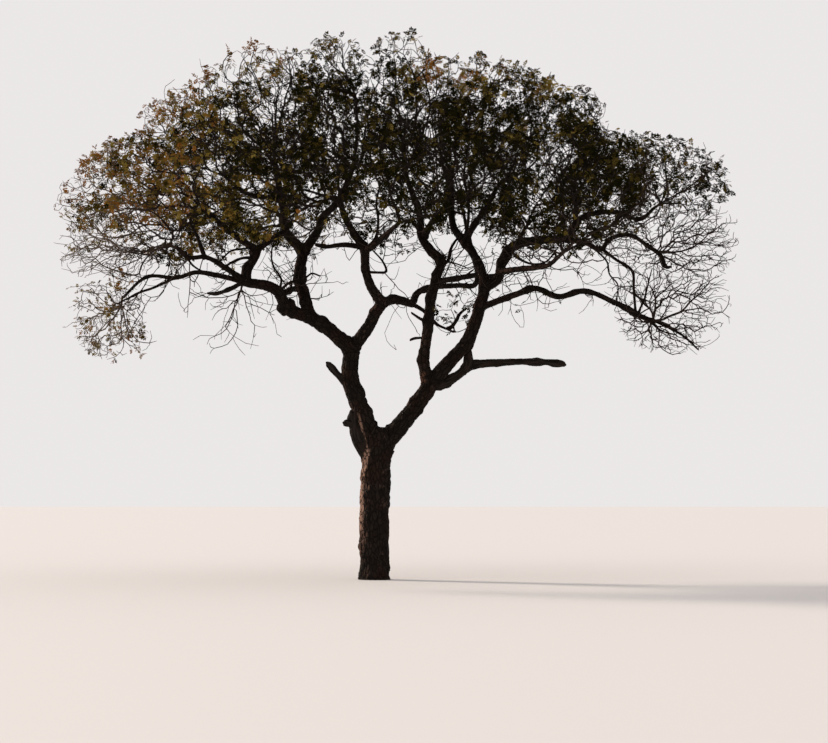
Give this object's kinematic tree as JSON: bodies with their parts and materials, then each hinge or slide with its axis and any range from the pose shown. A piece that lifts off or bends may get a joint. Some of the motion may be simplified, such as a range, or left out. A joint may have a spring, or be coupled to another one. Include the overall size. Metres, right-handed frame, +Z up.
{
  "type": "marula tree",
  "caption": "Savanna marula tree: a straight trunk forks low into gnarled boughs under a wide, flat-topped crown of open, leafy and partly bare twigs.",
  "frame": {"origin": "middle of the flat cut at the trunk's foot, at ground level", "axes": "+Z up along the trunk, +X towards the long right-hand side of the crown, +Y to the back"},
  "size_m": [14.6759, 11.9635, 12.0778],
  "materials": {
    "bark": "rough, fissured",
    "dead_wood": "weathered, dry",
    "foliage": "matt, slightly waxy leaves",
    "bare_twigs": "dry, matt"
  },
  "bodies": {
    "root": {"trunk": "bark", "dead_stump": "dead_wood", "left_stem": "bark", "left_stem_stub": "dead_wood", "low_left_bough": "bark", "left_reach_bough": "bark", "left_rise_bough": "bark", "inner_left_bough": "bark", "inner_rise_bough": "bark", "dead_prong": "dead_wood", "back_left_bough": "bark", "left_upright_bough": "bark", "top_left_bough": "bark", "left_crown_bough": "bark", "top_middle_bough": "bark", "mid_bough": "bark", "mid_upright_bough": "bark", "front_left_bough": "bark", "front_middle_bough": "bark", "mid_side_bough": "bark", "mid_level_bough": "bark", "back_middle_bough": "bark", "drooping_bough": "bark", "right_stem": "bark", "dead_right_limb": "dead_wood", "upright_bough": "bark", "crest_bough": "bark", "front_crest_bough": "bark", "back_right_bough": "bark", "main_right_bough": "bark", "high_right_bough": "bark", "upper_right_bough": "bark", "right_arch_bough": "bark", "right_crown_bough": "bark", "right_end_bough": "bark", "right_side_bough": "bark", "front_right_bough": "bark", "right_low_bough": "bark", "left_hanging_mass": "foliage", "left_under_mass": "bare_twigs", "left_low_mass": "bare_twigs", "left_wide_mass": "foliage", "left_crown_mass": "foliage", "top_left_mass": "foliage", "back_left_mass": "foliage", "top_middle_mass": "foliage", "front_left_mass": "foliage", "front_middle_mass": "foliage", "back_middle_mass": "foliage", "drooping_mass": "foliage", "crest_mass": "foliage", "front_crest_mass": "foliage", "back_right_mass": "foliage", "high_right_mass": "foliage", "upper_right_mass": "foliage", "right_crown_mass": "foliage", "right_end_mass": "foliage", "right_side_mass": "bare_twigs", "front_right_mass": "foliage", "right_low_mass": "bare_twigs"}
  },
  "joints": []
}
